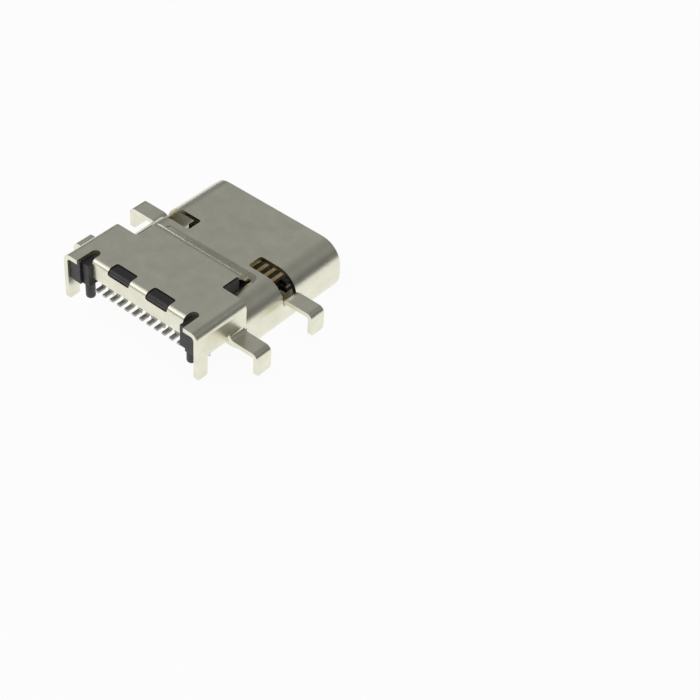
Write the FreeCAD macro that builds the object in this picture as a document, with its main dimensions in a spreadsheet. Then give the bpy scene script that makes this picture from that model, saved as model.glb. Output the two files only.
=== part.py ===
"""Board-mounted USB-C receptacle, sunk into a cutout of the circuit board.

Millimetres. X runs across the mouth, +Y from the mouth to the rear, +Z away from
the board. The origin lies on the board's upper face, midway between the two pegs.
"""
import FreeCAD, Part
import Sketcher
import math
import os

V = FreeCAD.Vector
doc = FreeCAD.newDocument("receptacle")

# Driving dimensions, in millimetres.
DIMENSIONS = [
    # Rolled tube
    ("sheet", 0.25, "thickness of the stamped shell"),
    ("mouth_width", 8.34, "inside of the mouth"),
    ("mouth_height", 2.56, "inside of the mouth"),
    ("mouth_radius", 1.0, "inside corner of the rolled tube"),
    ("tube_length", 6.73, "mouth to the tube's rear rim"),
    ("rim_to_pegs", 3.05, "tube's rear rim to the line of the pegs"),
    ("axis_below_board", 0.45, "centre of the mouth below the board's upper face"),
    ("seam_offset", 0.1, "dovetailed seam under the tube, from the middle"),
    ("seam_gap", 0.04, "open width of the seam"),
    ("dovetail_first", 1.92, "mouth to the middle of the first dovetail"),
    ("dovetail_last", 1.83, "middle of the second dovetail to the rim"),
    ("dovetail_neck", 1.04, "narrow end of a dovetail"),
    ("dovetail_head", 1.36, "wide end of a dovetail"),
    ("dovetail_depth", 0.76, "neck to head"),
    # Strip from the tube to the canopy
    ("strip_width", 5.7, "strip of sheet that climbs to the canopy"),
    ("ramp_foot", 1.85, "apex of the lower bend, ahead of the rim"),
    ("ramp_head", 0.99, "apex of the upper bend, ahead of the rim"),
    ("ramp_foot_radius", 0.8, "upper face at the foot of the ramp"),
    ("ramp_head_radius", 0.4, "under face at the head of the ramp"),
    ("slit_width", 0.12, "relief slit each side of the strip"),
    ("slit_length", 1.52, "relief slit, ahead of the rim"),
    ("web_width", 0.4, "drawn web between the ramp and the tube's shoulder"),
    # Canopy
    ("canopy_top", 1.86, "top of the canopy above the board"),
    ("canopy_gap", 0.37, "tube's rim to the front of the canopy's wings"),
    ("shoulder_foot", 0.1, "lower edge of the tube's shoulders behind the rim, above the board"),
    ("canopy_step", 0.04, "canopy's sides beyond the tube's"),
    ("canopy_back", 0.7, "rear end of the side walls, behind the pegs"),
    ("canopy_fold_radius", 0.45, "outside of the folds along the canopy's sides"),
    ("wing_corner_radius", 0.12, "inner corner between strip and wing"),
    ("side_wall_foot", 0.28, "lower edge of the side walls above the board"),
    ("rear_wall_back", 0.17, "outer face of the rear wall, behind the pegs"),
    ("slot_inset", 0.93, "corner slot's outer edge inside the canopy's side"),
    ("rear_wall_foot", 0.75, "lower edge of the rear wall above the board"),
    ("rear_fold_radius", 0.3, "outside of the fold along the rear"),
    ("slot_width", 0.5, "corner slot beside the rear wall"),
    ("slot_front", 0.55, "front end of the corner slot, ahead of the pegs"),
    ("notch_inner", 0.55, "near side of a rear notch from the middle"),
    ("notch_width", 1.42, "rear notch"),
    ("notch_front", 0.51, "rear notch, ahead of the pegs"),
    ("notch_drop", 0.36, "lower end of the notch below the canopy's top"),
    ("notch_radius", 0.14, "corners of the notches and windows"),
    # Legs
    ("leg_reach", 1.8, "outer face of the legs beyond the tube's side"),
    ("leg_depth", 1.05, "tips of the bent legs below the board's upper face"),
    ("leg_root_radius", 0.28, "inside of the bend next to the shell"),
    ("leg_knee_radius", 0.1, "inside of the bend where a leg turns down"),
    ("front_leg_width", 0.92, "front legs"),
    ("front_leg_lead", 2.9, "middle of the front legs ahead of the rim"),
    ("window_gap", 0.02, "window beyond each edge of the front leg"),
    ("window_inner", 2.02, "inner end of the window from the middle"),
    ("middle_leg_width", 1.0, "middle legs"),
    ("middle_leg_setback", 0.65, "middle of the middle legs behind the wings' front"),
    ("leg_relief", 0.14, "relief notch behind the middle legs"),
    ("tail_width", 0.7, "straight rear legs"),
    ("tail_depth", 0.95, "tips of the rear legs below the board's upper face"),
    ("tip_radius", 0.15, "lower corners of legs and pegs"),
    # Housing
    ("fit_gap", 0.02, "clearance between the moulding and the shell"),
    ("body_lead", 0.53, "moulding's front face inside the tube, ahead of the rim"),
    ("collar_length", 0.32, "moulding behind the rim that covers the contacts, below the board"),
    ("block_foot", 0.6, "underside of the moulding above the board"),
    ("rib_lead", 0.75, "moulded rib beside the strip, ahead of the rim"),
    ("shelf_lead", 1.42, "moulded shelf under the ramp, ahead of the rim"),
    ("rib_drop", 0.06, "moulded rib beside the strip, below the canopy's top"),
    ("boss_gap", 0.05, "moulding to the edges of the rear notches"),
    ("boss_radius", 0.2, "moulding where it shows in the rear notches"),
    ("corner_back", 0.55, "rear face of the corner blocks, behind the pegs"),
    ("corner_foot", 0.3, "underside of the corner blocks above the board"),
    ("corner_recess", 0.14, "inner part of a corner block ahead of its rear face"),
    ("peg_offset", 0.67, "pegs beyond the outermost contact's middle"),
    ("peg_radius", 0.25, "locating pegs"),
    ("peg_depth", 0.77, "tips of the pegs below the board's upper face"),
    # Tongue
    ("tongue_margin", 0.485, "tongue beyond the outermost contact's edge"),
    ("tongue_thickness", 0.7, "tongue between its contact faces"),
    ("tongue_tip", 0.7, "mouth to the tongue's tip"),
    ("tongue_tip_radius", 0.2, "front edges of the tongue"),
    ("latch_length", 1.1, "side notch for a plug's latch"),
    ("latch_lead", 0.95, "side notch ahead of the tongue's root"),
    ("latch_inset", 0.35, "side notch"),
    ("root_side_gap", 0.57, "tongue's root to the side of the mouth"),
    ("root_thickness", 1.04, "thick root of the tongue"),
    ("root_lead", 1.78, "front of the root ahead of the rim"),
    ("root_end", 0.43, "back of the root ahead of the rim"),
    # Contacts
    ("contact_pitch", 0.5, "both rows of contacts"),
    ("contact_width", 0.22, "both rows of contacts"),
    ("contact_thickness", 0.12, "both rows of contacts"),
    ("contact_proud", 0.02, "contacts above the tongue"),
    ("contact_front", 1.1, "mouth to the front of the contacts"),
    ("upper_rise", 0.26, "where the upper row climbs, ahead of the rim"),
    ("upper_cover", 0.26, "upper row below the canopy's plate"),
    ("foot_elbow", 0.38, "where the upper row drops, ahead of the pegs"),
    ("foot_tip", 0.21, "ends of the solder feet, behind the pegs"),
    ("foot_bend_radius", 0.08, "inside of the bend at the solder feet"),
    ("foot_shoulder", 0.34, "upper row where it leaves the moulding"),
    ("foot_taper", 0.3, "height over which it narrows"),
    ("lower_rise", 0.2, "where the lower row climbs, behind the rim"),
    ("lower_cover", 0.25, "lower row above the moulding's underside"),
    ("jog_front", 0.37, "where the lower row shifts sideways, behind the rim"),
    ("jog_back", 0.67, "where the shift ends, behind the rim"),
    ("pin_pitch", 0.4, "grid of the pins across"),
    ("pin_row_first", 1.01, "first row of pins behind the rim"),
    ("pin_row_second", 1.81, "second row of pins behind the rim"),
    ("pin_depth", 1.29, "tips of the pins below the board's upper face"),
    ("pin_point", 0.55, "tapered end of a pin"),
    ("pin_tip", 0.06, "blunt tip of a pin"),
    # Plates
    ("plate_thickness", 0.15, "metal plate inside the tongue"),
    ("plate_front", 0.6, "mouth to the bare ears of the plate"),
    ("plate_middle_front", 1.2, "mouth to the plate between its ears"),
    ("ear_inner", 1.66, "inner end of an ear from the middle"),
    ("ear_outer", 3.07, "outer end of an ear from the middle"),
    ("plate_rise", 0.2, "where the plate's arms climb, behind the rim"),
    ("plate_cover", 0.16, "plate's arms above the moulding's underside"),
    ("blade_offset", 0.47, "plate's solder blades beyond the outermost pin"),
    ("blade_width", 0.36, "plate's solder blades"),
    ("ground_thickness", 0.1, "plates on the thick root of the tongue"),
    ("ground_width", 6.2, "plates on the thick root of the tongue"),
]

CONTACTS_PER_ROW = 12
# Pins of the lower row on one side of the middle, in steps of the pin grid, and their row.
PIN_STEPS = [1, 2, 3, 4, 6, 7]
PIN_ROWS = ["second", "first", "second", "first", "first", "second"]

sheet = doc.addObject("Spreadsheet::Sheet", "Sizes")
for row, (alias, size, meaning) in enumerate(DIMENSIONS, start=1):
    sheet.set(f"A{row}", str(size))
    sheet.set(f"B{row}", meaning)
    sheet.setAlias(f"A{row}", alias)
probes = doc.addObject("Spreadsheet::Sheet", "Probes")
doc.recompute()

# Places along Y, as expressions: pegs at 0, then the rim, then the mouth.
RIM = "(-Sizes.rim_to_pegs)"
MOUTH = "(-Sizes.rim_to_pegs - Sizes.tube_length)"
CANOPY_FRONT = f"({RIM} + Sizes.canopy_gap)"
REAR_INSIDE = "(Sizes.rear_wall_back - Sizes.sheet)"
REAR_FOLD_INSIDE = "(Sizes.rear_fold_radius - Sizes.sheet)"
FRONT_LEG = f"({RIM} - Sizes.front_leg_lead)"
MIDDLE_LEG = f"({CANOPY_FRONT} + Sizes.middle_leg_setback)"
ROOT_FRONT = f"({RIM} - Sizes.root_lead)"
ROOT_BACK = f"({RIM} - Sizes.root_end)"
BODY_FRONT = f"({RIM} - Sizes.body_lead)"
BODY_BACK = f"({RIM} + Sizes.collar_length)"
WEB_BACK = f"({CANOPY_FRONT} + Sizes.sheet)"
BLOCK_FRONT = f"({WEB_BACK} + Sizes.fit_gap)"
# Places across X.
LAST_CONTACT = f"({CONTACTS_PER_ROW - 1} / 2 * Sizes.contact_pitch)"
LAST_PIN = f"({PIN_STEPS[-1]} * Sizes.pin_pitch)"
TUBE_HALF = "(Sizes.mouth_width / 2 + Sizes.sheet)"
CANOPY_HALF = f"({TUBE_HALF} + Sizes.canopy_step)"
CANOPY_INSIDE = f"({CANOPY_HALF} - Sizes.sheet)"
HOUSING_HALF = f"({CANOPY_INSIDE} - Sizes.fit_gap)"
STRIP_HALF = "(Sizes.strip_width / 2)"
SLIT_HALF = f"({STRIP_HALF} + Sizes.slit_width)"
BED_HALF = f"({SLIT_HALF} - Sizes.fit_gap)"
SLOT_HALF = f"({CANOPY_HALF} - Sizes.slot_inset)"
REAR_WALL_HALF = f"({SLOT_HALF} - Sizes.slot_width)"
NOTCH_ACROSS = ("Sizes.notch_inner", "(Sizes.notch_inner + Sizes.notch_width)")
LEG_OUTSIDE = f"({TUBE_HALF} + Sizes.leg_reach)"
LEG_INSIDE = f"({LEG_OUTSIDE} - Sizes.sheet)"
PEG_PLACE = f"({LAST_CONTACT} + Sizes.peg_offset)"
TONGUE_HALF = f"({LAST_CONTACT} + Sizes.contact_width / 2 + Sizes.tongue_margin)"
ROOT_HALF = "(Sizes.mouth_width / 2 - Sizes.root_side_gap)"
BLADE_PLACE = f"(max({LAST_PIN}; {LAST_CONTACT}) + Sizes.blade_offset)"
# Heights.
AXIS = "(-Sizes.axis_below_board)"
TUBE_TOP = f"({AXIS} + Sizes.mouth_height / 2 + Sizes.sheet)"
TUBE_FOOT = f"({AXIS} - Sizes.mouth_height / 2 - Sizes.sheet)"
SHOULDER_FOOT = f"({AXIS} + Sizes.mouth_height / 2 - Sizes.mouth_radius)"
CANOPY_UNDER = "(Sizes.canopy_top - Sizes.sheet)"
MIDDLE_LEG_ROOT = "(1.2 * Sizes.sheet + Sizes.leg_root_radius)"
CEILING = f"({CANOPY_UNDER} - Sizes.fit_gap)"
ABOVE = "(Sizes.canopy_top + Sizes.sheet)"
UPPER_FACE = f"({AXIS} + Sizes.tongue_thickness / 2 + Sizes.contact_proud)"
LOWER_FACE = f"({AXIS} - Sizes.tongue_thickness / 2 - Sizes.contact_proud)"
UPPER_LEVEL = f"({CANOPY_UNDER} - Sizes.upper_cover)"
LOWER_LEVEL = "(Sizes.block_foot + Sizes.lower_cover)"
PLATE_LEVEL = "(Sizes.block_foot + Sizes.plate_cover)"
THICK = "Sizes.contact_thickness"
PLATE = "Sizes.plate_thickness"

PLANES = {
    "XY": FreeCAD.Rotation(),
    "XZ": FreeCAD.Rotation(V(1, 0, 0), 90),
    "YZ": FreeCAD.Rotation(V(1, 1, 1), 120),
}
NORMALS = {"XY": "z", "XZ": "y", "YZ": "x"}


def value(text):
    """Number that an expression gives now, read from a cell of the second sheet."""
    probes.set("A1", "=" + text)
    probes.recompute()
    return float(probes.get("A1"))


def draw(drawing, corners):
    """Close a ring of straight lines whose corners are bound to the sheet."""
    count = len(corners)
    turn = 2 * math.pi / count
    ring = [V(math.cos(i * turn), math.sin(i * turn), 0) for i in range(count)]
    for i in range(count):
        drawing.addGeometry(Part.LineSegment(ring[i], ring[(i + 1) % count]))
    for i in range(count):
        drawing.addConstraint(Sketcher.Constraint("Coincident", i, 2, (i + 1) % count, 1))
    for i, (across, up) in enumerate(corners):
        for kind, start, text in (("DistanceX", ring[i].x, across), ("DistanceY", ring[i].y, up)):
            index = drawing.addConstraint(Sketcher.Constraint(kind, -1, 1, i, 1, start))
            drawing.setExpression(f"Constraints[{index}]", text)


def outline(name, plane, corners, at=None):
    """Sketch on one of the three planes, shifted along that plane's normal to the place given."""
    drawing = doc.addObject("Sketcher::SketchObject", name)
    drawing.Placement = FreeCAD.Placement(V(0, 0, 0), PLANES[plane])
    if at is not None:
        drawing.setExpression("Placement.Base." + NORMALS[plane], at)
    draw(drawing, corners)
    return drawing


def extrude(name, drawing, length):
    """Solid from a sketch, centred on the sketch's plane."""
    solid = doc.addObject("Part::Extrusion", name)
    solid.Base = drawing
    solid.DirMode = "Normal"
    solid.Solid = True
    solid.Symmetric = True
    solid.setExpression("LengthFwd", length)
    return solid


def box(name, across, along, up):
    """Block between two expressions on each axis."""
    solid = doc.addObject("Part::Box", name)
    for axis, side, (low, high) in zip("xyz", ("Length", "Width", "Height"), (across, along, up)):
        solid.setExpression(f"Placement.Base.{axis}", low)
        solid.setExpression(side, f"({high}) - ({low})")
    return solid


def centred(name, half_width, along, half_height):
    """Block centred on the mouth's axis."""
    up = (f"{AXIS} - {half_height}", f"{AXIS} + {half_height}")
    return box(name, (f"-{half_width}", half_width), along, up)


def upright_pin(name, radius, across, along, up):
    """Cylinder standing along Z."""
    solid = doc.addObject("Part::Cylinder", name)
    solid.setExpression("Radius", radius)
    solid.setExpression("Height", f"({up[1]}) - ({up[0]})")
    for axis, text in zip("xyz", (across, along, up[0])):
        solid.setExpression(f"Placement.Base.{axis}", text)
    return solid


def fuse(name, pieces):
    solid = doc.addObject("Part::MultiFuse", name)
    solid.Shapes = pieces
    solid.Refine = True
    return solid


def cut(name, base, tool):
    solid = doc.addObject("Part::Cut", name)
    solid.Base = base
    solid.Tool = tool
    solid.Refine = True
    return solid


def both_sides(source):
    """The piece and its mirror image on the other side of the middle."""
    other = doc.addObject("Part::Mirroring", source.Name + "Mirror")
    other.Source = source
    other.Normal = V(1, 0, 0)
    return [source, other]


def nearest_edge(shape, point):
    """Number of the edge nearest a point given as three expressions."""
    probe = Part.Vertex(V(*[value(text) for text in point]))
    gaps = [edge.distToShape(probe)[0] for edge in shape.Edges]
    return gaps.index(min(gaps)) + 1


def rounded(name, base, rounds):
    """Round the edges next to the given points; rounds is (point, radius) pairs of expressions."""
    doc.recompute()
    solid = doc.addObject("Part::Fillet", name)
    solid.Base = base
    chosen = []
    for point, radius in rounds:
        chosen.append((nearest_edge(base.Shape, point), value(radius), value(radius)))
    solid.Edges = chosen
    return solid


def rounded_bar(name, half_width, along, half_height, radius):
    """Bar along Y centred on the mouth's axis, with its four long edges rounded."""
    plain = centred(name + "Plain", half_width, along, half_height)
    middle = f"(({along[0]}) + ({along[1]})) / 2"
    edges = []
    for side in (f"-{half_width}", half_width):
        for up in (f"{AXIS} - {half_height}", f"{AXIS} + {half_height}"):
            edges.append(((side, middle, up), radius))
    return rounded(name, plain, edges)


# The stamped shell: rolled tube, climbing strip, canopy, legs.
def rolled_tube():
    """Tube whose shoulders run on behind the rim, each closed by an upright web under the canopy."""
    whole = (MOUTH, WEB_BACK)
    sheet_half = "(Sizes.mouth_height / 2 + Sizes.sheet)"
    skin = rounded_bar("TubeSkin", TUBE_HALF, whole, sheet_half, "Sizes.mouth_radius + Sizes.sheet")
    web_across = (SLIT_HALF, f"{CANOPY_INSIDE} + Sizes.sheet / 2")
    web_up = ("Sizes.shoulder_foot", f"{CANOPY_UNDER} + Sizes.sheet / 3")
    webs = both_sides(box("Web", web_across, (CANOPY_FRONT, WEB_BACK), web_up))
    bore_half = "(Sizes.mouth_height / 2)"
    bore = rounded_bar("TubeBore", "(Sizes.mouth_width / 2)", whole, bore_half, "Sizes.mouth_radius")
    past = f"{WEB_BACK} + Sizes.sheet"
    wide = (f"-{CANOPY_HALF}", CANOPY_HALF)
    below = box("BehindRim", wide, (RIM, past), (f"{TUBE_FOOT} - Sizes.sheet", "Sizes.shoulder_foot"))
    middle = box("BetweenShoulders", (f"-{SLIT_HALF}", SLIT_HALF), (RIM, past), (AXIS, ABOVE))
    return cut("Tube", fuse("TubeAndWebs", [skin] + webs), fuse("TubeCuts", [bore, below, middle]))


def dovetailed_seam():
    """Narrow gap that runs round two dovetails under the tube."""
    near = []
    far = []
    for middle in (f"{MOUTH} + Sizes.dovetail_first", f"{RIM} - Sizes.dovetail_last"):
        for part, sign in (("neck", "-"), ("head", "-"), ("head", "+"), ("neck", "+")):
            reach = "Sizes.dovetail_depth" if part == "head" else "0"
            along = f"{middle} {sign} Sizes.dovetail_{part} / 2"
            near.append((f"Sizes.seam_offset - {reach}", along))
            far.append((f"Sizes.seam_offset - Sizes.seam_gap - {reach}", f"{along} {sign} Sizes.seam_gap"))
    past_rim = f"{RIM} + Sizes.sheet"
    past_mouth = f"{MOUTH} - Sizes.sheet"
    ends = [("Sizes.seam_offset", past_rim), ("Sizes.seam_offset - Sizes.seam_gap", past_rim)]
    starts = [("Sizes.seam_offset - Sizes.seam_gap", past_mouth), ("Sizes.seam_offset", past_mouth)]
    drawing = outline("SeamOutline", "XY", near + ends + far[::-1] + starts, TUBE_FOOT)
    return extrude("Seam", drawing, "4 * Sizes.sheet")


def climbing_strip():
    """Sheet that leaves the tube's top, climbs the ramp and runs level into the canopy."""
    slope = f"atan((Sizes.canopy_top - {TUBE_TOP}) / (Sizes.ramp_foot - Sizes.ramp_head))"
    bend = f"(Sizes.sheet * tan({slope} / 2))"
    foot = f"({RIM} - Sizes.ramp_foot)"
    head = f"({RIM} - Sizes.ramp_head)"
    start = f"{foot} - 2 * Sizes.sheet"
    end = f"{CANOPY_FRONT} + Sizes.sheet"
    tube_under = f"({TUBE_TOP} - Sizes.sheet)"
    corners = [
        (start, TUBE_TOP),
        (foot, TUBE_TOP),
        (head, "Sizes.canopy_top"),
        (end, "Sizes.canopy_top"),
        (end, CANOPY_UNDER),
        (f"{head} + {bend}", CANOPY_UNDER),
        (f"{foot} + {bend}", tube_under),
        (start, tube_under),
    ]
    plain = extrude("StripPlain", outline("StripOutline", "YZ", corners), "Sizes.strip_width")
    rounds = [
        (("0", foot, TUBE_TOP), "Sizes.ramp_foot_radius"),
        (("0", f"{foot} + {bend}", tube_under), "Sizes.ramp_foot_radius + Sizes.sheet"),
        (("0", head, "Sizes.canopy_top"), "Sizes.ramp_head_radius + Sizes.sheet"),
        (("0", f"{head} + {bend}", CANOPY_UNDER), "Sizes.ramp_head_radius"),
    ]
    return rounded("Strip", plain, rounds)


def ramp_web():
    """Sheet drawn down from the ramp's edge to the tube's shoulder, ahead of the slit."""
    low = f"({TUBE_TOP} - Sizes.sheet / 2)"
    inner = f"({STRIP_HALF} - Sizes.sheet / 2)"
    outer = f"({STRIP_HALF} + Sizes.web_width)"
    start = f"({RIM} - Sizes.ramp_foot - Sizes.sheet)"
    end = f"({RIM} - Sizes.slit_length)"
    rise = f"(Sizes.canopy_top - {TUBE_TOP}) / (Sizes.ramp_foot - Sizes.ramp_head)"
    crest = f"({TUBE_TOP} + {rise} * (Sizes.ramp_foot - Sizes.slit_length))"
    first = outline("WebFront", "XZ", [(inner, low), (outer, low), (STRIP_HALF, TUBE_TOP)], start)
    last = outline("WebBack", "XZ", [(inner, low), (outer, low), (STRIP_HALF, crest)], end)
    web = doc.addObject("Part::Loft", "RampWeb")
    web.Sections = [first, last]
    web.Solid = True
    web.Ruled = True
    return web


def canopy():
    """Plate with folded side walls, open below and in front."""
    layers = []
    for name, half_width, top, radius in (
        ("CanopySkin", CANOPY_HALF, "Sizes.canopy_top", "Sizes.canopy_fold_radius"),
        ("CanopyHollow", CANOPY_INSIDE, CANOPY_UNDER, "Sizes.canopy_fold_radius - Sizes.sheet"),
    ):
        across = (f"-{half_width}", half_width)
        up = ("Sizes.side_wall_foot", top)
        plain = box(name + "Plain", across, (CANOPY_FRONT, "Sizes.canopy_back"), up)
        layers.append(rounded(name, plain, [((x, MIDDLE_LEG, top), radius) for x in across]))
    channel = cut("Channel", *layers)
    slot_round = "(Sizes.slot_width / 2 - Sizes.slot_front)"
    up = ("Sizes.side_wall_foot", ABOVE)
    gap = box("RearGap", (f"-{SLOT_HALF}", SLOT_HALF), (slot_round, "Sizes.canopy_back + Sizes.sheet"), up)
    slot_middle = f"({REAR_WALL_HALF} + Sizes.slot_width / 2)"
    end = upright_pin("SlotEnd", "Sizes.slot_width / 2", slot_middle, slot_round, up)
    return cut("CanopyPlate", channel, fuse("RearCuts", [gap] + both_sides(end)))


def rear_flap():
    """Rear end of the canopy's plate, folded down between the corner slots."""
    start = "-Sizes.slot_front - Sizes.sheet"
    corners = [
        (start, "Sizes.canopy_top"),
        ("Sizes.rear_wall_back", "Sizes.canopy_top"),
        ("Sizes.rear_wall_back", "Sizes.rear_wall_foot"),
        (REAR_INSIDE, "Sizes.rear_wall_foot"),
        (REAR_INSIDE, CANOPY_UNDER),
        (start, CANOPY_UNDER),
    ]
    plain = extrude("FlapPlain", outline("FlapOutline", "YZ", corners), f"2 * {REAR_WALL_HALF}")
    rounds = [
        (("0", "Sizes.rear_wall_back", "Sizes.canopy_top"), "Sizes.rear_fold_radius"),
        (("0", REAR_INSIDE, CANOPY_UNDER), REAR_FOLD_INSIDE),
    ]
    return rounded("Flap", plain, rounds)


def rear_notch():
    """Opening over the rear fold, with rounded corners in the plate and in the wall."""
    behind = "Sizes.rear_wall_back + Sizes.sheet"
    low = "(Sizes.canopy_top - Sizes.notch_drop)"
    under = f"{CANOPY_UNDER} - {REAR_FOLD_INSIDE}"
    inside = f"{REAR_INSIDE} - {REAR_FOLD_INSIDE}"
    pieces = []
    for name, front, foot, corner in (
        ("NotchFront", "-Sizes.notch_front", under, ("-Sizes.notch_front", "Sizes.canopy_top")),
        ("NotchFoot", inside, low, ("Sizes.rear_wall_back", low)),
    ):
        plain = box(name + "Plain", NOTCH_ACROSS, (front, behind), (foot, ABOVE))
        corners = [((x, *corner), "Sizes.notch_radius") for x in NOTCH_ACROSS]
        pieces.append(rounded(name, plain, corners))
    return pieces


def leg_end(place, width):
    """Rounds of a bent leg's knee and of its tip's corners."""
    rounds = [
        ((LEG_OUTSIDE, place, "Sizes.sheet"), "Sizes.leg_knee_radius + Sizes.sheet"),
        ((LEG_INSIDE, place, "0"), "Sizes.leg_knee_radius"),
    ]
    for sign in "-+":
        corner = (f"{LEG_OUTSIDE} - Sizes.sheet / 2", f"{place} {sign} {width} / 2", "-Sizes.leg_depth")
        rounds.append((corner, "Sizes.tip_radius"))
    return rounds


def front_leg():
    """Cut free from the tube's shoulder, bent out onto the board and down through it."""
    wall_inside = "(Sizes.mouth_width / 2)"
    low = f"({SHOULDER_FOOT} - Sizes.leg_root_radius)"
    corners = [
        (wall_inside, low),
        (TUBE_HALF, low),
        (TUBE_HALF, "0"),
        (LEG_INSIDE, "0"),
        (LEG_INSIDE, "-Sizes.leg_depth"),
        (LEG_OUTSIDE, "-Sizes.leg_depth"),
        (LEG_OUTSIDE, "Sizes.sheet"),
        (wall_inside, "Sizes.sheet"),
    ]
    drawing = outline("FrontLegOutline", "XZ", corners, FRONT_LEG)
    plain = extrude("FrontLegPlain", drawing, "Sizes.front_leg_width")
    rounds = [
        ((wall_inside, FRONT_LEG, "Sizes.sheet"), "Sizes.leg_root_radius + Sizes.sheet"),
        ((TUBE_HALF, FRONT_LEG, "0"), "Sizes.leg_root_radius"),
    ]
    return rounded("FrontLeg", plain, rounds + leg_end(FRONT_LEG, "Sizes.front_leg_width"))


def middle_leg():
    """Runs out from the canopy's side wall over the board, then down through it."""
    corners = [
        (CANOPY_INSIDE, "0"),
        (LEG_INSIDE, "0"),
        (LEG_INSIDE, "-Sizes.leg_depth"),
        (LEG_OUTSIDE, "-Sizes.leg_depth"),
        (LEG_OUTSIDE, "Sizes.sheet"),
        (CANOPY_HALF, "Sizes.sheet"),
        (CANOPY_HALF, MIDDLE_LEG_ROOT),
        (CANOPY_INSIDE, MIDDLE_LEG_ROOT),
    ]
    drawing = outline("MiddleLegOutline", "XZ", corners, MIDDLE_LEG)
    plain = extrude("MiddleLegPlain", drawing, "Sizes.middle_leg_width")
    rounds = [
        ((CANOPY_INSIDE, MIDDLE_LEG, "0"), "Sizes.leg_root_radius + Sizes.sheet"),
        ((CANOPY_HALF, MIDDLE_LEG, "Sizes.sheet"), "Sizes.leg_root_radius"),
    ]
    return rounded("MiddleLeg", plain, rounds + leg_end(MIDDLE_LEG, "Sizes.middle_leg_width"))


def relief_notches():
    """Small cut in the side wall behind a middle leg."""
    across = (f"{CANOPY_INSIDE} - Sizes.sheet", f"{CANOPY_HALF} + Sizes.sheet")
    behind = f"({MIDDLE_LEG} + Sizes.middle_leg_width / 2)"
    along = (behind, f"{behind} + Sizes.leg_relief")
    return both_sides(box("Relief", across, along, ("0", MIDDLE_LEG_ROOT)))


def rear_tail():
    """Straight rear leg in line with the canopy's side wall."""
    front = "(Sizes.canopy_back - Sizes.tail_width)"
    up = ("-Sizes.tail_depth", "Sizes.side_wall_foot + Sizes.sheet")
    plain = box("TailPlain", (CANOPY_INSIDE, CANOPY_HALF), (front, "Sizes.canopy_back"), up)
    middle = f"{CANOPY_HALF} - Sizes.sheet / 2"
    tips = [(middle, along, "-Sizes.tail_depth") for along in (front, "Sizes.canopy_back")]
    return rounded("Tail", plain, [(tip, "Sizes.tip_radius") for tip in tips])


def window():
    """Opening over the shoulder that the front leg was cut from."""
    half = "(Sizes.front_leg_width / 2 + Sizes.window_gap)"
    along = (f"{FRONT_LEG} - {half}", f"{FRONT_LEG} + {half}")
    plain = box("WindowPlain", ("Sizes.window_inner", LEG_INSIDE), along, (SHOULDER_FOOT, ABOVE))
    corners = [(("Sizes.window_inner", place, TUBE_TOP), "Sizes.notch_radius") for place in along]
    return rounded("Window", plain, corners)


def shell():
    past_rim = f"{RIM} + Sizes.sheet"
    top_sheet = (f"{TUBE_TOP} - 1.5 * Sizes.sheet", ABOVE)
    under_ramp = (f"{RIM} - Sizes.ramp_foot - 1.5 * Sizes.sheet", past_rim)
    ramp_gap = box("RampGap", (f"-{STRIP_HALF}", STRIP_HALF), under_ramp, top_sheet)
    slit = box("Slit", (STRIP_HALF, SLIT_HALF), (f"{RIM} - Sizes.slit_length", past_rim), top_sheet)
    openings = [ramp_gap, dovetailed_seam()] + both_sides(slit) + both_sides(window())
    tube = cut("OpenedTube", rolled_tube(), fuse("TubeOpenings", openings))
    roof = cut("Roof", canopy(), fuse("Reliefs", relief_notches()))
    notches = []
    for piece in rear_notch():
        notches += both_sides(piece)
    roof = cut("NotchedRoof", fuse("RoofAndFlap", [roof, rear_flap()]), fuse("RearNotches", notches))
    whole = [tube, climbing_strip(), roof]
    for piece in (ramp_web(), front_leg(), middle_leg(), rear_tail()):
        whole += both_sides(piece)
    sharp = fuse("SharpShell", whole)
    height = f"{CANOPY_UNDER} + Sizes.sheet / 2"
    corners = [(x, CANOPY_FRONT, height) for x in (f"-{STRIP_HALF}", STRIP_HALF)]
    return rounded("Shell", sharp, [(corner, "Sizes.wing_corner_radius") for corner in corners])


# Contacts, each bent from one strip.
def body_sketch(body, name, role, corners, shift=None):
    """Sketch on one of the body's own origin planes, optionally shifted along its normal."""
    plane = next(f for f in body.Origin.OriginFeatures if f.Role == role)
    drawing = body.newObject("Sketcher::SketchObject", name)
    drawing.AttachmentSupport = [(plane, "")]
    drawing.MapMode = "FlatFace"
    if shift is not None:
        drawing.setExpression("AttachmentOffset.Base.z", shift)
    draw(drawing, corners)
    return drawing


def pad(body, name, drawing, length):
    feature = body.newObject("PartDesign::Pad", name)
    feature.Profile = drawing
    feature.Midplane = True
    feature.setExpression("Length", length)
    return feature


def soften(body, name, base, point, radius):
    """Round the edge of a pad next to a point in the body's own frame."""
    doc.recompute()
    feature = body.newObject("PartDesign::Fillet", name)
    feature.Base = (base, [f"Edge{nearest_edge(base.Shape, point)}"])
    feature.setExpression("Radius", radius)
    return feature


def contact_body(row, number, steps):
    body = doc.addObject("PartDesign::Body", f"{row}_contact_{number:02d}")
    body.setExpression("Placement.Base.x", f"{steps} * Sizes.contact_pitch")
    return body


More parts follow.
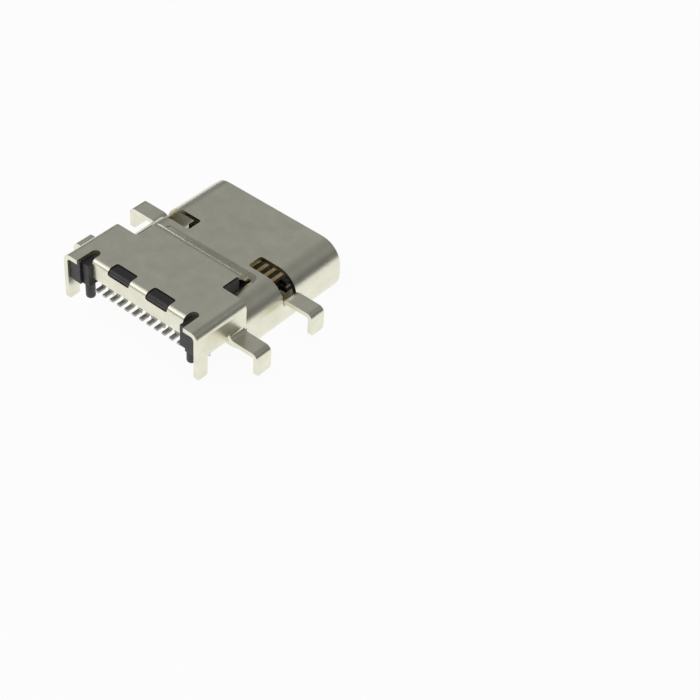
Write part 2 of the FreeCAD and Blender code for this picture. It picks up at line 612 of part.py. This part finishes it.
def upper_contact(number, steps):
    """Contact of the upper row: along the tongue, up, back over the board, down to its foot."""
    body = contact_body("upper", number, steps)
    front = f"({MOUTH} + Sizes.contact_front)"
    rise = f"({RIM} - Sizes.upper_rise)"
    elbow = "(-Sizes.foot_elbow)"
    corners = [
        (front, UPPER_FACE),
        (f"{rise} - {THICK}", UPPER_FACE),
        (f"{rise} - {THICK}", UPPER_LEVEL),
        (f"{elbow} + {THICK}", UPPER_LEVEL),
        (f"{elbow} + {THICK}", THICK),
        ("Sizes.foot_tip", THICK),
        ("Sizes.foot_tip", "0"),
        (elbow, "0"),
        (elbow, f"{UPPER_LEVEL} - {THICK}"),
        (rise, f"{UPPER_LEVEL} - {THICK}"),
        (rise, f"{UPPER_FACE} - {THICK}"),
        (front, f"{UPPER_FACE} - {THICK}"),
    ]
    strip = pad(body, "Strip", body_sketch(body, "Side", "YZ_Plane", corners), "Sizes.contact_width")
    heel = soften(body, "Heel", strip, ("0", elbow, "0"), f"Sizes.foot_bend_radius + {THICK}")
    soften(body, "Instep", heel, ("0", f"{elbow} + {THICK}", THICK), "Sizes.foot_bend_radius")
    top = "(Sizes.block_foot + Sizes.fit_gap)"
    taper = [
        ("-Sizes.foot_shoulder / 2", top),
        ("Sizes.foot_shoulder / 2", top),
        ("Sizes.contact_width / 2", f"{top} - Sizes.foot_taper"),
        ("-Sizes.contact_width / 2", f"{top} - Sizes.foot_taper"),
    ]
    drawing = body_sketch(body, "ShoulderFront", "XZ_Plane", taper, f"-({elbow} + {THICK} / 2)")
    pad(body, "Shoulder", drawing, THICK)
    return body


def lower_contact(number, steps, pin_steps, pin_row):
    """Contact of the lower row: along the tongue, up, sideways to its pin and down."""
    body = contact_body("lower", number, steps)
    shift = f"({pin_steps} * Sizes.pin_pitch - {steps} * Sizes.contact_pitch)"
    half = "Sizes.contact_width / 2"
    front = f"({MOUTH} + Sizes.contact_front)"
    rise = f"({RIM} + Sizes.lower_rise)"
    jog_front = f"({RIM} + Sizes.jog_front)"
    jog_back = f"({RIM} + Sizes.jog_back)"
    pin = f"({RIM} + Sizes.pin_row_{pin_row})"
    side = [
        (front, LOWER_FACE),
        (rise, LOWER_FACE),
        (rise, f"{LOWER_LEVEL} - {THICK}"),
        (jog_front, f"{LOWER_LEVEL} - {THICK}"),
        (jog_front, LOWER_LEVEL),
        (f"{rise} - {THICK}", LOWER_LEVEL),
        (f"{rise} - {THICK}", f"{LOWER_FACE} + {THICK}"),
        (front, f"{LOWER_FACE} + {THICK}"),
    ]
    pad(body, "Strip", body_sketch(body, "Side", "YZ_Plane", side), "Sizes.contact_width")
    plan = [
        (f"-{half}", jog_front),
        (half, jog_front),
        (f"{shift} + {half}", jog_back),
        (f"{shift} + {half}", f"{pin} + {THICK} / 2"),
        (f"{shift} - {half}", f"{pin} + {THICK} / 2"),
        (f"{shift} - {half}", jog_back),
    ]
    pad(body, "Jog", body_sketch(body, "Plan", "XY_Plane", plan, f"{LOWER_LEVEL} - {THICK} / 2"), THICK)
    shoulder = "Sizes.pin_point - Sizes.pin_depth"
    needle = [
        (f"{shift} - {half}", f"{LOWER_LEVEL} - {THICK} / 2"),
        (f"{shift} + {half}", f"{LOWER_LEVEL} - {THICK} / 2"),
        (f"{shift} + {half}", shoulder),
        (f"{shift} + Sizes.pin_tip / 2", "-Sizes.pin_depth"),
        (f"{shift} - Sizes.pin_tip / 2", "-Sizes.pin_depth"),
        (f"{shift} - {half}", shoulder),
    ]
    pad(body, "Pin", body_sketch(body, "PinFront", "XZ_Plane", needle, f"-{pin}"), THICK)
    return body


def contact_rows():
    """Twelve contacts above the tongue's middle plate and twelve below it."""
    row = []
    for number in range(1, CONTACTS_PER_ROW + 1):
        steps = number - (CONTACTS_PER_ROW + 1) / 2
        rank = int(abs(steps))
        pin_steps = int(math.copysign(PIN_STEPS[rank], steps))
        row.append(upper_contact(number, steps))
        row.append(lower_contact(number, steps, pin_steps, PIN_ROWS[rank]))
    return row


# Plates.
def latch_notch():
    """Side notch of the tongue, which a plug's latch grips."""
    back = f"({ROOT_FRONT} - Sizes.latch_lead)"
    across = (f"{TONGUE_HALF} - Sizes.latch_inset", f"{TONGUE_HALF} + Sizes.sheet")
    up = (f"{AXIS} - Sizes.tongue_thickness", f"{AXIS} + Sizes.tongue_thickness")
    return box("LatchNotch", across, (f"{back} - Sizes.latch_length", back), up)


def plate_arm():
    """Arm that climbs beside the contacts and ends in a solder blade."""
    rise = f"({RIM} + Sizes.plate_rise)"
    blade = f"({RIM} + Sizes.pin_row_second)"
    shoulder = "Sizes.pin_point / 2 - Sizes.pin_depth"
    corners = [
        (f"{ROOT_BACK} - {PLATE}", f"{AXIS} - {PLATE} / 2"),
        (rise, f"{AXIS} - {PLATE} / 2"),
        (rise, f"{PLATE_LEVEL} - {PLATE}"),
        (f"{blade} - {PLATE} / 2", f"{PLATE_LEVEL} - {PLATE}"),
        (f"{blade} - {PLATE} / 2", shoulder),
        (f"{blade} - Sizes.pin_tip / 2", "-Sizes.pin_depth"),
        (f"{blade} + Sizes.pin_tip / 2", "-Sizes.pin_depth"),
        (f"{blade} + {PLATE} / 2", shoulder),
        (f"{blade} + {PLATE} / 2", PLATE_LEVEL),
        (f"{rise} - {PLATE}", PLATE_LEVEL),
        (f"{rise} - {PLATE}", f"{AXIS} + {PLATE} / 2"),
        (f"{ROOT_BACK} - {PLATE}", f"{AXIS} + {PLATE} / 2"),
    ]
    return extrude("Arm", outline("ArmOutline", "YZ", corners, BLADE_PLACE), "Sizes.blade_width")


def mid_plate(notches):
    """Metal plate in the tongue, bare at its front ears and sides."""
    half = f"{PLATE} / 2"
    front = f"({MOUTH} + Sizes.plate_front)"
    middle_front = f"({MOUTH} + Sizes.plate_middle_front)"
    in_tongue = centred("PlateInTongue", TONGUE_HALF, (front, ROOT_FRONT), half)
    root_half = f"({BLADE_PLACE} + Sizes.blade_width / 2)"
    in_root = centred("PlateInRoot", root_half, (ROOT_FRONT, ROOT_BACK), half)
    ahead = (f"{front} - Sizes.sheet", middle_front)
    middle = centred("PlateMiddleCut", "Sizes.ear_inner", ahead, PLATE)
    beside = ("Sizes.ear_outer", f"Sizes.ear_outer + {TONGUE_HALF}")
    side = box("PlateSideCut", beside, ahead, (f"{AXIS} - {PLATE}", f"{AXIS} + {PLATE}"))
    cuts = fuse("PlateCuts", [middle] + both_sides(side) + notches)
    flat = cut("FlatPlate", fuse("PlateBlank", [in_tongue, in_root]), cuts)
    return fuse("MidPlate", [flat] + both_sides(plate_arm()))


def ground_plate(name, sign):
    """Thin plate lying on one face of the tongue's thick root."""
    near = f"({AXIS} {sign} Sizes.root_thickness / 2)"
    far = f"({near} {sign} Sizes.ground_thickness)"
    up = (near, far) if sign == "+" else (far, near)
    along = (f"{ROOT_FRONT} + Sizes.ground_thickness", f"{BODY_FRONT} - Sizes.ground_thickness")
    return box(name, ("-Sizes.ground_width / 2", "Sizes.ground_width / 2"), along, up)


# The mouldings, with channels for the metal that they hold.
def tongue_blank(notches):
    tip = f"({MOUTH} + Sizes.tongue_tip)"
    half = "(Sizes.tongue_thickness / 2)"
    blade = centred("BladePlain", TONGUE_HALF, (tip, ROOT_FRONT), half)
    edges = [(("0", tip, f"{AXIS} {sign} {half}"), "Sizes.tongue_tip_radius") for sign in "-+"]
    root = centred("Root", ROOT_HALF, (ROOT_FRONT, ROOT_BACK), "(Sizes.root_thickness / 2)")
    whole = fuse("TongueWhole", [rounded("Blade", blade, edges), root])
    return cut("TongueBlank", whole, fuse("LatchNotches", notches))


def housing_front():
    """Parts of the moulding in and just behind the tube."""
    gap = "Sizes.fit_gap"
    half_width = f"(Sizes.mouth_width / 2 - {gap})"
    half_height = f"(Sizes.mouth_height / 2 - {gap})"
    radius = f"Sizes.mouth_radius - {gap}"
    plug = rounded_bar("Plug", half_width, (BODY_FRONT, RIM), half_height, radius)
    along = (f"{RIM} - Sizes.sheet", f"{BLOCK_FRONT} + Sizes.sheet")
    neck = rounded_bar("NeckBar", half_width, along, half_height, radius)
    wide = (f"-{CANOPY_HALF}", CANOPY_HALF)
    under_neck = box("UnderNeck", wide, along, (f"{TUBE_FOOT} - Sizes.sheet", "Sizes.block_foot"))
    across = (f"-{BED_HALF}", BED_HALF)
    up = (f"{AXIS} - {half_height}", f"Sizes.block_foot + {gap}")
    collar = box("Collar", across, (f"{RIM} - Sizes.sheet", BODY_BACK), up)
    return [plug, cut("Neck", neck, under_neck), collar]


def strip_bed():
    """Moulding under the strip, with a thin rib standing along each of the strip's edges."""
    whole = (f"-{BED_HALF}", BED_HALF)
    up = (f"{AXIS} + Sizes.mouth_height / 4", CEILING)
    bed = box("Bed", whole, (BODY_FRONT, f"{BLOCK_FRONT} + Sizes.sheet"), up)
    front = f"{RIM} - Sizes.rib_lead"
    foot = f"{TUBE_TOP} - Sizes.sheet"
    bed_front = box("BedFront", whole, (front, BODY_BACK), (foot, CEILING))
    shelf_up = (foot, f"{TUBE_TOP} - Sizes.fit_gap")
    shelf = box("Shelf", whole, (f"{RIM} - Sizes.shelf_lead", BODY_BACK), shelf_up)
    across = (f"{STRIP_HALF} + Sizes.fit_gap", BED_HALF)
    along = (front, f"{CANOPY_FRONT} - Sizes.wing_corner_radius")
    rib = box("Rib", across, along, (foot, "Sizes.canopy_top - Sizes.rib_drop"))
    return [bed, bed_front, shelf] + both_sides(rib)


def corner_block():
    """Block beside a peg; its inner part stands ahead of its rear face."""
    step = f"({SLOT_HALF} - Sizes.fit_gap)"
    front = f"{REAR_INSIDE} - Sizes.sheet"
    up = ("Sizes.corner_foot", CEILING)
    recessed = (front, "Sizes.corner_back - Sizes.corner_recess")
    inner = box("CornerInner", (f"{REAR_WALL_HALF} + Sizes.fit_gap", step), recessed, up)
    outer = box("CornerPlain", (step, HOUSING_HALF), (front, "Sizes.corner_back"), up)
    edge = (HOUSING_HALF, "Sizes.corner_back / 2", CEILING)
    outer = rounded("CornerOuter", outer, [(edge, "Sizes.canopy_fold_radius - Sizes.sheet")])
    return [inner, outer]


def rear_boss():
    """Moulding that fills a rear notch."""
    shrink = "Sizes.boss_gap"
    across = [f"{NOTCH_ACROSS[0]} + {shrink}", f"{NOTCH_ACROSS[1]} - {shrink}"]
    back = f"(Sizes.rear_wall_back - {shrink})"
    top = f"(Sizes.canopy_top - {shrink})"
    up = (f"Sizes.canopy_top - Sizes.notch_drop + {shrink}", top)
    plain = box("BossPlain", across, (f"{shrink} - Sizes.notch_front", back), up)
    bend = ("Sizes.notch_inner + Sizes.notch_width / 2", back, top)
    return rounded("Boss", plain, [(bend, "Sizes.boss_radius")])


def housing(metal, tongue):
    """Black moulding that closes the tube, fills the canopy and carries corner blocks and pegs."""
    across = (f"-{HOUSING_HALF}", HOUSING_HALF)
    along = (BLOCK_FRONT, f"{REAR_INSIDE} - Sizes.fit_gap")
    block = box("BlockPlain", across, along, ("Sizes.block_foot", CEILING))
    fold = "Sizes.canopy_fold_radius - Sizes.sheet"
    block = rounded("Block", block, [((x, MIDDLE_LEG, CEILING), fold) for x in across])
    peg_up = ("-Sizes.peg_depth", "Sizes.corner_foot + Sizes.sheet")
    peg = upright_pin("PegPlain", "Sizes.peg_radius", PEG_PLACE, "0", peg_up)
    peg = rounded("Peg", peg, [((PEG_PLACE, "Sizes.peg_radius", "-Sizes.peg_depth"), "Sizes.tip_radius")])
    pieces = housing_front() + strip_bed() + [block]
    for piece in corner_block() + [peg, rear_boss()]:
        pieces += both_sides(piece)
    channels = doc.addObject("Part::Compound", "HousingChannels")
    channels.Links = [metal, tongue]
    return cut("Housing", fuse("HousingBlank", pieces), channels)


def main():
    shell_piece = shell()
    notches = both_sides(latch_notch())
    plate = mid_plate(notches)
    contacts = contact_rows()
    metal = doc.addObject("Part::Compound", "Metal")
    metal.Links = contacts + [plate]
    blank = tongue_blank(notches)
    pieces = {
        "shell": shell_piece,
        "housing": housing(metal, blank),
        "tongue": cut("Tongue", blank, metal),
        "mid_plate": plate,
        "upper_ground_plate": ground_plate("UpperGround", "+"),
        "lower_ground_plate": ground_plate("LowerGround", "-"),
    }
    for label, piece in pieces.items():
        piece.Label = label
    pieces.update({contact.Label: contact for contact in contacts})
    doc.recompute()
    broken = [item.Name for item in doc.Objects if "Invalid" in item.State or "Error" in item.State]
    if broken:
        raise RuntimeError("not built: " + ", ".join(broken))
    os.makedirs("parts", exist_ok=True)
    for label, piece in pieces.items():
        shape = piece.Shape
        if shape.isNull() or not shape.isValid() or len(shape.Solids) != 1:
            raise RuntimeError(f"{label}: {len(shape.Solids)} solids")
        shape.exportStep(f"parts/{label}.step")
        print(label, round(shape.Volume, 3), shape.BoundBox)


main()
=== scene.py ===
"""Looks of the sunk board-mount USB-C receptacle. Metres, in the CAD frame."""

import math

import bmesh
import bpy
from mathutils import Matrix, Vector


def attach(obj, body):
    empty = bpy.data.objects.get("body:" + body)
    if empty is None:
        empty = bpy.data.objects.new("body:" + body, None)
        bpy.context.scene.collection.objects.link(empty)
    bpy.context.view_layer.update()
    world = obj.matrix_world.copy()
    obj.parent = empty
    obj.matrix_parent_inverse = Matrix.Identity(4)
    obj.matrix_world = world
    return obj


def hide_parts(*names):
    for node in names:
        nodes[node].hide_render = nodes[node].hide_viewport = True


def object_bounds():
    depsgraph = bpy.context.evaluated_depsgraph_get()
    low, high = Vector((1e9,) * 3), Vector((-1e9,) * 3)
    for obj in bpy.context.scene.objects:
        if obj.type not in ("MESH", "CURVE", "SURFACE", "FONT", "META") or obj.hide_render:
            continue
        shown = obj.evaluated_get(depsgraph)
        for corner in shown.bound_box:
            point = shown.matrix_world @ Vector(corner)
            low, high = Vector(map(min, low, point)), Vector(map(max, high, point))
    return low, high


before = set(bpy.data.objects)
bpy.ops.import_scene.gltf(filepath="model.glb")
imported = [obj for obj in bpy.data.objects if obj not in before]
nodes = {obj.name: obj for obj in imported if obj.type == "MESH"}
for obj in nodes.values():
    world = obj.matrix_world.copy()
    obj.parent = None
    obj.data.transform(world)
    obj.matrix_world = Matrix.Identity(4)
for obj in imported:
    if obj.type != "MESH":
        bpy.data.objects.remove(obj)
cad_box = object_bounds()
MM = 0.001


def srgb(code):
    """Linear colour from an sRGB hex value."""
    linear = []
    for start in (0, 2, 4):
        part = int(code[start:start + 2], 16) / 255
        linear.append(part / 12.92 if part <= 0.04045 else ((part + 0.055) / 1.055) ** 2.4)
    return (*linear, 1.0)


def blank_tree(datablock):
    """Empty node tree of a material or world."""
    datablock.use_nodes = True
    datablock.node_tree.nodes.clear()
    return datablock.node_tree


def add(tree, kind, values=None, links=None, **settings):
    """Add a node, set its properties and input values, and link its inputs."""
    made = tree.nodes.new(kind)
    for key, value in settings.items():
        setattr(made, key, value)
    for key, value in (values or {}).items():
        made.inputs[key].default_value = value
    for key, source in (links or {}).items():
        tree.links.new(source, made.inputs[key])
    return made


def grey(level):
    """Linear grey."""
    return (level, level, level, 1.0)


def per_mm(size_mm):
    """Scale of a noise in metres whose features are about that many millimetres apart."""
    return 1 / (size_mm * MM)


# A noise value stays mostly between these two.
LOW, HIGH = 0.3, 0.7
# Sockets of a colour mix: three inputs and the output.
FACTOR, FIRST, SECOND = 0, 6, 7
MIXED = 2


def finish_surface(tree, look, colour, roughness, relief=None):
    """Principled surface from a colour, a roughness and an optional bump, to the output."""
    links = {"Base Color": colour, "Roughness": roughness}
    if relief:
        links["Normal"] = relief
    shader = add(tree, "ShaderNodeBsdfPrincipled", look, links)
    add(tree, "ShaderNodeOutputMaterial", links={"Surface": shader.outputs[0]})


# Materials of the connector.
def stamped_steel():
    """Nickel-plated stainless strip: satin, warm grey, finely marked along the roll."""
    mat = bpy.data.materials.new("stamped_nickel_steel")
    tree = blank_tree(mat)
    place = add(tree, "ShaderNodeTexCoord").outputs["Object"]
    # Plating stains 0.9 mm apart give the eye a slightly uneven tone.
    values = {"Scale": per_mm(0.9), "Detail": 4.0, "Roughness": 0.65}
    stain = add(tree, "ShaderNodeTexNoise", values, {"Vector": place}).outputs["Fac"]
    colours = {FIRST: srgb("D7D5C3"), SECOND: srgb("FBF9E6")}
    colour = add(tree, "ShaderNodeMix", colours, {FACTOR: stain}, data_type="RGBA").outputs[MIXED]
    # Roll marks 0.3 mm apart and drawn out along Y show as a faint grain. Real ones are finer.
    values = {"Scale": (1.0, 0.3, 1.0)}
    drawn = add(tree, "ShaderNodeMapping", values, {"Vector": place}).outputs[0]
    values = {"Scale": per_mm(0.3), "Detail": 3.0}
    marks = add(tree, "ShaderNodeTexNoise", values, {"Vector": drawn}).outputs["Fac"]
    values = {"From Min": LOW, "From Max": HIGH, "To Min": 0.27, "To Max": 0.32}
    rough = add(tree, "ShaderNodeMapRange", values, {"Value": marks}).outputs[0]
    finish_surface(tree, {"Metallic": 1.0}, colour, rough)
    return mat


def moulded_lcp():
    """Glass-filled liquid crystal polymer, black, moulded: a dusty matt skin with flow marks."""
    mat = bpy.data.materials.new("moulded_black_lcp")
    tree = blank_tree(mat)
    place = add(tree, "ShaderNodeTexCoord").outputs["Object"]
    # Flow marks 0.4 mm apart vary the black and its sheen.
    values = {"Scale": per_mm(0.4), "Detail": 5.0, "Roughness": 0.7}
    flow = add(tree, "ShaderNodeTexNoise", values, {"Vector": place}).outputs["Fac"]
    colours = {FIRST: srgb("040405"), SECOND: srgb("262627")}
    colour = add(tree, "ShaderNodeMix", colours, {FACTOR: flow}, data_type="RGBA").outputs[MIXED]
    values = {"From Min": LOW, "From Max": HIGH, "To Min": 0.38, "To Max": 0.55}
    rough = add(tree, "ShaderNodeMapRange", values, {"Value": flow}).outputs[0]
    # The glass fill, drawn 0.12 mm apart where the real one is finer, makes the skin grainy.
    values = {"Scale": per_mm(0.12), "Detail": 2.0}
    grain = add(tree, "ShaderNodeTexNoise", values, {"Vector": place}).outputs["Fac"]
    values = {"Strength": 1.0, "Distance": 0.02 * MM}
    relief = add(tree, "ShaderNodeBump", values, {"Height": grain}).outputs[0]
    finish_surface(tree, {"IOR": 1.65}, colour, rough, relief)
    return mat


def plated_contact():
    """Phosphor bronze strip: gold over nickel on the tongue, dull tin on the feet and pins."""
    mat = bpy.data.materials.new("gold_and_tin_plating")
    tree = blank_tree(mat)
    place = add(tree, "ShaderNodeTexCoord").outputs["Object"]
    # Wear and handling marks, 0.25 mm apart.
    values = {"Scale": per_mm(0.25), "Detail": 4.0}
    wear = add(tree, "ShaderNodeTexNoise", values, {"Vector": place}).outputs["Fac"]
    colours = {FIRST: srgb("F6D592"), SECOND: srgb("FFEFC0")}
    gold = add(tree, "ShaderNodeMix", colours, {FACTOR: wear}, data_type="RGBA").outputs[MIXED]
    colours = {FIRST: srgb("A6A49A"), SECOND: srgb("DEDCD2")}
    tin = add(tree, "ShaderNodeMix", colours, {FACTOR: wear}, data_type="RGBA").outputs[MIXED]
    # The gold ends inside the moulding, 3 mm ahead of the pegs, and gives way over 0.5 mm.
    along = add(tree, "ShaderNodeSeparateXYZ", links={"Vector": place}).outputs["Y"]
    values = {"From Min": -3.4 * MM, "From Max": -2.9 * MM}
    tinned = add(tree, "ShaderNodeMapRange", values, {"Value": along}).outputs[0]
    both = {FACTOR: tinned, FIRST: gold, SECOND: tin}
    colour = add(tree, "ShaderNodeMix", links=both, data_type="RGBA").outputs[MIXED]
    values = {"From Min": LOW, "From Max": HIGH, "To Min": 0.28, "To Max": 0.40}
    rough = add(tree, "ShaderNodeMapRange", values, {"Value": wear}).outputs[0]
    finish_surface(tree, {"Metallic": 0.5}, colour, rough)
    return mat


def bright_plate():
    """Cold-rolled stainless strip, left bright."""
    mat = bpy.data.materials.new("bright_stainless_strip")
    tree = blank_tree(mat)
    place = add(tree, "ShaderNodeTexCoord").outputs["Object"]
    # Haze of the cold roll, in patches 0.6 mm apart.
    values = {"Scale": per_mm(0.6), "Detail": 4.0}
    haze = add(tree, "ShaderNodeTexNoise", values, {"Vector": place}).outputs["Fac"]
    colours = {FIRST: srgb("C9C6BB"), SECOND: srgb("E2DFD4")}
    colour = add(tree, "ShaderNodeMix", colours, {FACTOR: haze}, data_type="RGBA").outputs[MIXED]
    values = {"From Min": LOW, "From Max": HIGH, "To Min": 0.22, "To Max": 0.32}
    rough = add(tree, "ShaderNodeMapRange", values, {"Value": haze}).outputs[0]
    finish_surface(tree, {"Metallic": 1.0}, colour, rough)
    return mat


# Shapes: each CAD node is shown by a copy of itself, finished where it stands.
# A fold sharper than this is a cut edge, and a softer one belongs to a bend.
SHARP = math.radians(28)
# Corners nearer than this are one.
MERGE = 0.0005 * MM
LARGEST_FACE_WINS = 100


def finished_copy(name, mat):
    """Merged copy of a CAD node, smooth over its bends and sharp at its cut edges."""
    shape = bmesh.new()
    shape.from_mesh(nodes[name].data)
    bmesh.ops.remove_doubles(shape, verts=shape.verts, dist=MERGE)
    for face in shape.faces:
        face.smooth = True
    for edge in shape.edges:
        edge.smooth = edge.is_manifold and edge.calc_face_angle(math.pi) < SHARP
    mesh = bpy.data.meshes.new(name + "_finished")
    shape.to_mesh(mesh)
    shape.free()
    mesh.materials.append(mat)
    piece = bpy.data.objects.new(name + "_finished", mesh)
    bpy.context.scene.collection.objects.link(piece)
    # The flat faces keep their own normals, so that only the bends are shaded round.
    flats = piece.modifiers.new("flat_faces", "WEIGHTED_NORMAL")
    flats.weight = LARGEST_FACE_WINS
    flats.keep_sharp = True
    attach(piece, "root")
    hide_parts(name)


steel = stamped_steel()
plastic = moulded_lcp()
plating = plated_contact()
strip = bright_plate()
for name, node in nodes.items():
    if "contact" in name:
        slot, mat = "gold_contact", plating
    elif name in ("housing", "tongue"):
        slot, mat = "black_lcp", plastic
    elif name == "shell":
        slot, mat = "shell_steel", steel
    else:
        slot, mat = "plate_steel", strip
    node.data.materials.clear()
    node.data.materials.append(mat)
    finished_copy(name, mat)


# Floor and world.
FLOOR_HALF = 0.6
# The floor lies this far below the lowest tip, so that no face shares its plane.
FLOOR_GAP = 0.02 * MM
# How much of the floor's look to the camera is plain white. The rest shows the shadow.
WHITE_SHARE = 0.95


def any_ray(tree, *kinds):
    """One for rays of any of the named kinds, and zero for others."""
    path = add(tree, "ShaderNodeLightPath")
    seen = path.outputs[kinds[0]]
    for kind in kinds[1:]:
        links = {0: seen, 1: path.outputs[kind]}
        seen = add(tree, "ShaderNodeMath", links=links, operation="MAXIMUM").outputs[0]
    return seen


def table_paper():
    """White paper: white to the camera and in the metal, with a faint shadow left on it."""
    mat = bpy.data.materials.new("white_table_paper")
    tree = blank_tree(mat)
    place = add(tree, "ShaderNodeTexCoord").outputs["Object"]
    # Fibres 0.5 mm apart.
    values = {"Scale": per_mm(0.5)}
    fibre = add(tree, "ShaderNodeTexNoise", values, {"Vector": place}).outputs["Fac"]
    colours = {FIRST: grey(0.88), SECOND: grey(0.94)}
    colour = add(tree, "ShaderNodeMix", colours, {FACTOR: fibre}, data_type="RGBA").outputs[MIXED]
    paper = add(tree, "ShaderNodeBsdfDiffuse", links={"Color": colour}).outputs[0]
    white = add(tree, "ShaderNodeEmission", {"Color": grey(1.0), "Strength": 1.0}).outputs[0]
    seen = any_ray(tree, "Is Camera Ray", "Is Glossy Ray", "Is Transmission Ray")
    values = {1: WHITE_SHARE}
    share = add(tree, "ShaderNodeMath", values, {0: seen}, operation="MULTIPLY").outputs[0]
    mixed = add(tree, "ShaderNodeMixShader", links={0: share, 1: paper, 2: white}).outputs[0]
    add(tree, "ShaderNodeOutputMaterial", links={"Surface": mixed})
    return mat


def make_floor():
    """Plain paper table under the lowest tips."""
    mesh = bpy.data.meshes.new("studio_floor")
    shape = bmesh.new()
    bmesh.ops.create_grid(shape, x_segments=1, y_segments=1, size=FLOOR_HALF)
    bmesh.ops.translate(shape, verts=shape.verts, vec=(0, 0, cad_box[0].z - FLOOR_GAP))
    shape.to_mesh(mesh)
    shape.free()
    mesh.materials.append(table_paper())
    floor = bpy.data.objects.new("studio_floor", mesh)
    bpy.context.scene.collection.objects.link(floor)


def make_world():
    """White behind the object, and a studio that is darker at its walls, zenith and right side."""
    world = bpy.data.worlds.new("studio_world")
    bpy.context.scene.world = world
    tree = blank_tree(world)
    place = add(tree, "ShaderNodeTexCoord").outputs["Generated"]
    toward = add(tree, "ShaderNodeSeparateXYZ", links={"Vector": place}).outputs
    # Walls to ceiling, by the height of the direction.
    values = {"From Min": 0.35, "From Max": 0.65, "To Min": 0.20, "To Max": 0.385}
    level = add(tree, "ShaderNodeMapRange", values, {"Value": toward["Z"]}).outputs[0]
    # The zenith, which the tube's rolled shoulders mirror, has half the ceiling's level.
    values = {"From Min": 0.70, "From Max": 0.82, "To Min": 1.0, "To Max": 0.5}
    zenith = add(tree, "ShaderNodeMapRange", values, {"Value": toward["Z"]}).outputs[0]
    # The side towards -X comes down to three quarters.
    values = {"From Min": -0.45, "From Max": 0.1, "To Min": 0.75, "To Max": 1.0}
    side = add(tree, "ShaderNodeMapRange", values, {"Value": toward["X"]}).outputs[0]
    for share in (zenith, side):
        links = {0: level, 1: share}
        level = add(tree, "ShaderNodeMath", links=links, operation="MULTIPLY").outputs[0]
    studio = add(tree, "ShaderNodeBackground", {"Strength": 1.0}, {"Color": level}).outputs[0]
    white = add(tree, "ShaderNodeBackground", {"Color": grey(1.0), "Strength": 1.0}).outputs[0]
    seen = any_ray(tree, "Is Camera Ray", "Is Transmission Ray")
    mixed = add(tree, "ShaderNodeMixShader", links={0: seen, 1: studio, 2: white}).outputs[0]
    add(tree, "ShaderNodeOutputWorld", links={"Surface": mixed})


make_floor()
make_world()


# Lamps: large and dim, so that steel that mirrors one stays below white.
AIM = Vector((0, -0.004, 0))


def area_lamp(name, place, size, power):
    """White softbox that faces the middle of the connector."""
    data = bpy.data.lights.new(name, "AREA")
    data.shape = "RECTANGLE"
    data.size, data.size_y = size
    data.energy = power
    lamp = bpy.data.objects.new(name, data)
    bpy.context.scene.collection.objects.link(lamp)
    lamp.location = place
    lamp.rotation_mode = "QUATERNION"
    lamp.rotation_quaternion = (AIM - Vector(place)).to_track_quat("-Z", "Y")


area_lamp("overhead_softbox", (0.0, 0.055, 0.16), (0.24, 0.19), 0.125)
area_lamp("left_softbox", (0.12, 0.09, 0.08), (0.12, 0.12), 0.04)


# Camera, fitted to the connector's place and scale in the photograph's frame.
RIGHT = Vector((-0.7672065, -0.6385799, 0.0600825))
DOWN = Vector((-0.4656674, 0.4901383, -0.7368300))
FORWARD = Vector((0.4410760, -0.5932792, -0.6734031))
STAND = Vector((-44.99, 43.38, 55.07)) * MM
LENS, SENSOR = 88.139, 36.0
NEAR, FAR = 0.002, 2.0


def make_camera():
    """Camera at the photograph's place, without shift or depth of field."""
    data = bpy.data.cameras.new("camera")
    data.sensor_width = SENSOR
    data.lens = LENS
    data.clip_start = NEAR
    data.clip_end = FAR
    camera = bpy.data.objects.new("camera", data)
    bpy.context.scene.collection.objects.link(camera)
    turn = Matrix((RIGHT, -DOWN, -FORWARD)).transposed().to_4x4()
    camera.matrix_world = Matrix.Translation(STAND) @ turn
    bpy.context.scene.camera = camera


make_camera()
bpy.context.scene.view_settings.view_transform = "Standard"
